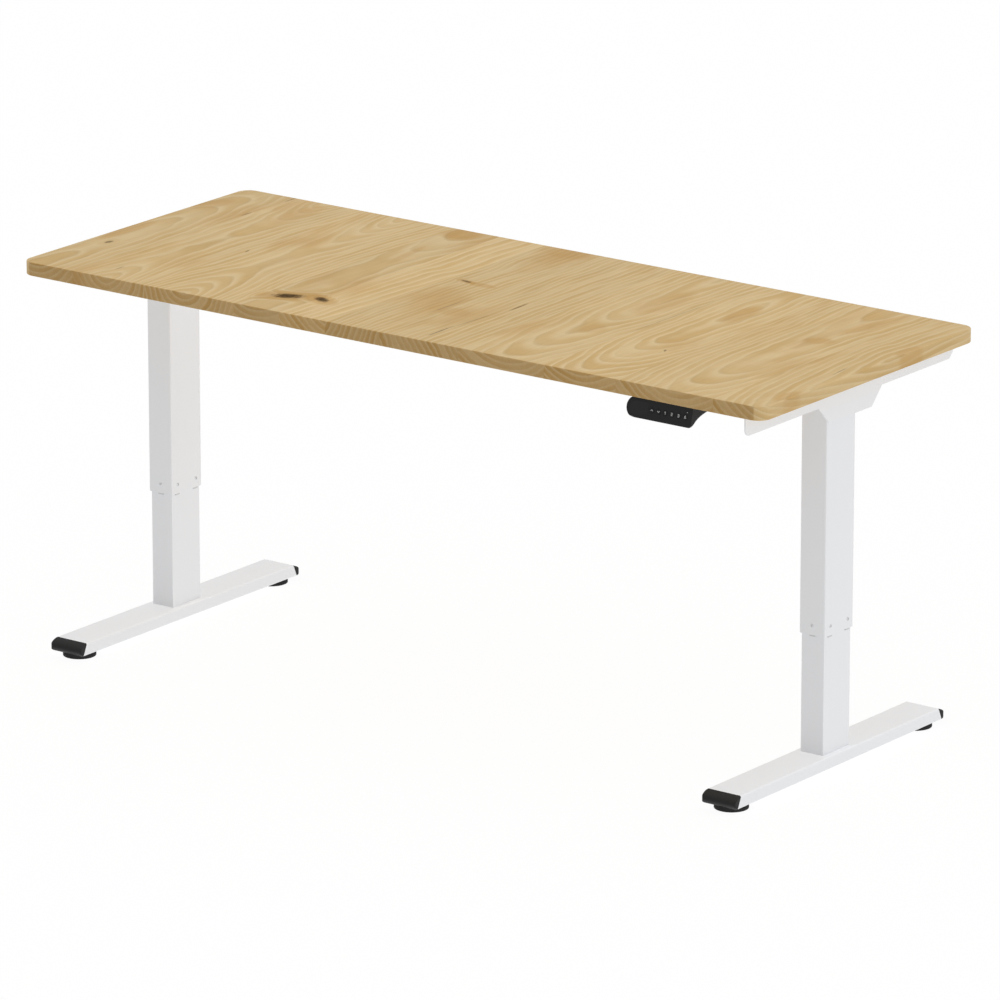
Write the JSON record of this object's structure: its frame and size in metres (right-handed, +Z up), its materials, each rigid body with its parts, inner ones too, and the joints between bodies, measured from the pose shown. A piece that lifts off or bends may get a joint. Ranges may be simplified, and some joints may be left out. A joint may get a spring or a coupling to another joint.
{
  "type": "height adjustable standing desk",
  "caption": "Electric sit-stand desk: rectangular solid wood top with rounded corners on two telescoping steel columns with flat foot bars, a cross beam with motors and a button handset.",
  "frame": {"origin": "on the floor under the middle of the desktop", "axes": "+X along the desktop's length to the seated user's right, +Y to the back, +Z up"},
  "size_m": [1.6, 0.64, 0.725],
  "materials": {
    "top_wood": "light oiled softwood, satin",
    "white_steel": "white powder coat, fine texture",
    "zinc_steel": "zinc plated",
    "spindle_steel": "ground steel, oiled",
    "white_plastic": "moulded acetal",
    "black_plastic": "fine grain",
    "black_gloss": "gloss lens",
    "black_rubber": "matt",
    "die_cast": "die cast",
    "motor_steel": "black paint",
    "board_green": "circuit board",
    "brass_nut": "machined"
  },
  "bodies": {
    "left_base": {"inner_tube_left": "white_steel", "spindle_nut_left": "brass_nut", "top_guide_left": "white_plastic", "foot_left": "white_steel", "foot_bolts_left": "zinc_steel", "foot_caps_left": "black_plastic"},
    "right_base": {"inner_tube_right": "white_steel", "spindle_nut_right": "brass_nut", "top_guide_right": "white_plastic", "foot_right": "white_steel", "foot_bolts_right": "zinc_steel", "foot_caps_right": "black_plastic"},
    "left_spindle": {"spindle_left": "spindle_steel"},
    "left_motor_shaft": {"motor_shaft_left": "spindle_steel"},
    "right_spindle": {"spindle_right": "spindle_steel"},
    "right_motor_shaft": {"motor_shaft_right": "spindle_steel"},
    "front_left_pad": {"leveller_pad_front_left": "black_rubber"},
    "front_left_stud": {"leveller_stud_front_left": "zinc_steel"},
    "back_left_pad": {"leveller_pad_back_left": "black_rubber"},
    "back_left_stud": {"leveller_stud_back_left": "zinc_steel"},
    "front_right_pad": {"leveller_pad_front_right": "black_rubber"},
    "front_right_stud": {"leveller_stud_front_right": "zinc_steel"},
    "back_right_pad": {"leveller_pad_back_right": "black_rubber"},
    "back_right_stud": {"leveller_stud_back_right": "zinc_steel"},
    "button_1": {"handset_button_1": "black_plastic"},
    "button_2": {"handset_button_2": "black_plastic"},
    "button_3": {"handset_button_3": "black_plastic"},
    "button_4": {"handset_button_4": "black_plastic"},
    "button_5": {"handset_button_5": "black_plastic"},
    "button_6": {"handset_button_6": "black_plastic"},
    "upper": {"beam_centre": "white_steel", "beam_end_left": "white_steel", "beam_end_right": "white_steel", "column_bolts": "zinc_steel", "control_box_board": "board_green", "control_box_case": "black_plastic", "control_box_cover": "black_plastic", "cover_screws": "zinc_steel", "desktop": "top_wood", "frame_bolts": "zinc_steel", "gearbox_covers": "die_cast", "gearbox_housing_left": "die_cast", "gearbox_housing_right": "die_cast", "glide_screws": "zinc_steel", "glide_sleeve_left": "white_plastic", "glide_sleeve_right": "white_plastic", "handset_board": "board_green", "handset_case": "black_plastic", "handset_display": "black_gloss", "handset_face": "black_plastic", "low_voltage_sockets": "black_plastic", "mains_inlet": "black_plastic", "motor_can_left": "motor_steel", "motor_can_right": "motor_steel", "outer_tube_left": "white_steel", "outer_tube_right": "white_steel", "side_bracket_left": "white_steel", "side_bracket_right": "white_steel", "spindle_bearings": "spindle_steel", "wood_screws": "zinc_steel"}
  },
  "joints": [
    {"name": "left_lift", "type": "slide", "parent": "left_base", "child": "upper", "axis": [0, 0, 1], "range_m": [-0.025, 0.285]},
    {"name": "right_lift", "type": "slide", "parent": "upper", "child": "right_base", "axis": [0, 0, -1], "range_m": [-0.025, 0.285]},
    {"name": "left_spindle_turn", "type": "hinge", "parent": "upper", "child": "left_spindle", "pos_m": [-0.714, 0, 0.5], "axis": [0, 0, 1], "continuous": true},
    {"name": "left_motor_turn", "type": "hinge", "parent": "upper", "child": "left_motor_shaft", "pos_m": [-0.714, -0.0194, 0.677], "axis": [1, 0, 0], "continuous": true},
    {"name": "right_spindle_turn", "type": "hinge", "parent": "upper", "child": "right_spindle", "pos_m": [0.714, 0, 0.5], "axis": [0, 0, 1], "continuous": true},
    {"name": "right_motor_turn", "type": "hinge", "parent": "upper", "child": "right_motor_shaft", "pos_m": [0.714, -0.0194, 0.677], "axis": [1, 0, 0], "continuous": true},
    {"name": "front_left_level", "type": "slide", "parent": "left_base", "child": "front_left_pad", "axis": [0, 0, -1], "range_m": [0, 0.01]},
    {"name": "front_left_stud_turn", "type": "hinge", "parent": "front_left_pad", "child": "front_left_stud", "pos_m": [-0.714, -0.277, 0.015], "axis": [0, 0, 1], "continuous": true},
    {"name": "back_left_level", "type": "slide", "parent": "left_base", "child": "back_left_pad", "axis": [0, 0, -1], "range_m": [0, 0.01]},
    {"name": "back_left_stud_turn", "type": "hinge", "parent": "back_left_pad", "child": "back_left_stud", "pos_m": [-0.714, 0.277, 0.015], "axis": [0, 0, 1], "continuous": true},
    {"name": "front_right_level", "type": "slide", "parent": "right_base", "child": "front_right_pad", "axis": [0, 0, -1], "range_m": [0, 0.01]},
    {"name": "front_right_stud_turn", "type": "hinge", "parent": "front_right_pad", "child": "front_right_stud", "pos_m": [0.714, -0.277, 0.015], "axis": [0, 0, 1], "continuous": true},
    {"name": "back_right_level", "type": "slide", "parent": "right_base", "child": "back_right_pad", "axis": [0, 0, -1], "range_m": [0, 0.01]},
    {"name": "back_right_stud_turn", "type": "hinge", "parent": "back_right_pad", "child": "back_right_stud", "pos_m": [0.714, 0.277, 0.015], "axis": [0, 0, 1], "continuous": true},
    {"name": "button_1_press", "type": "slide", "parent": "upper", "child": "button_1", "axis": [0, 0.9767, -0.2147], "range_m": [0, 0.0008], "stiffness_N_per_m": 500},
    {"name": "button_2_press", "type": "slide", "parent": "upper", "child": "button_2", "axis": [0, 0.9767, -0.2147], "range_m": [0, 0.0008], "stiffness_N_per_m": 500},
    {"name": "button_3_press", "type": "slide", "parent": "upper", "child": "button_3", "axis": [0, 0.9767, -0.2147], "range_m": [0, 0.0008], "stiffness_N_per_m": 500},
    {"name": "button_4_press", "type": "slide", "parent": "upper", "child": "button_4", "axis": [0, 0.9767, -0.2147], "range_m": [0, 0.0008], "stiffness_N_per_m": 500},
    {"name": "button_5_press", "type": "slide", "parent": "upper", "child": "button_5", "axis": [0, 0.9767, -0.2147], "range_m": [0, 0.0008], "stiffness_N_per_m": 500},
    {"name": "button_6_press", "type": "slide", "parent": "upper", "child": "button_6", "axis": [0, 0.9767, -0.2147], "range_m": [0, 0.0008], "stiffness_N_per_m": 500}
  ],
  "couplings": [
    {"joint": "right_lift", "follows": "left_lift", "ratio": 1},
    {"joint": "left_spindle_turn", "follows": "left_lift", "rad_per_m": 628.32},
    {"joint": "left_motor_turn", "follows": "left_lift", "rad_per_m": 3141.6},
    {"joint": "right_spindle_turn", "follows": "left_lift", "rad_per_m": 628.32},
    {"joint": "right_motor_turn", "follows": "left_lift", "rad_per_m": -3141.6},
    {"joint": "front_left_stud_turn", "follows": "front_left_level", "rad_per_m": 5026.5},
    {"joint": "back_left_stud_turn", "follows": "back_left_level", "rad_per_m": 5026.5},
    {"joint": "front_right_stud_turn", "follows": "front_right_level", "rad_per_m": 5026.5},
    {"joint": "back_right_stud_turn", "follows": "back_right_level", "rad_per_m": 5026.5}
  ]
}
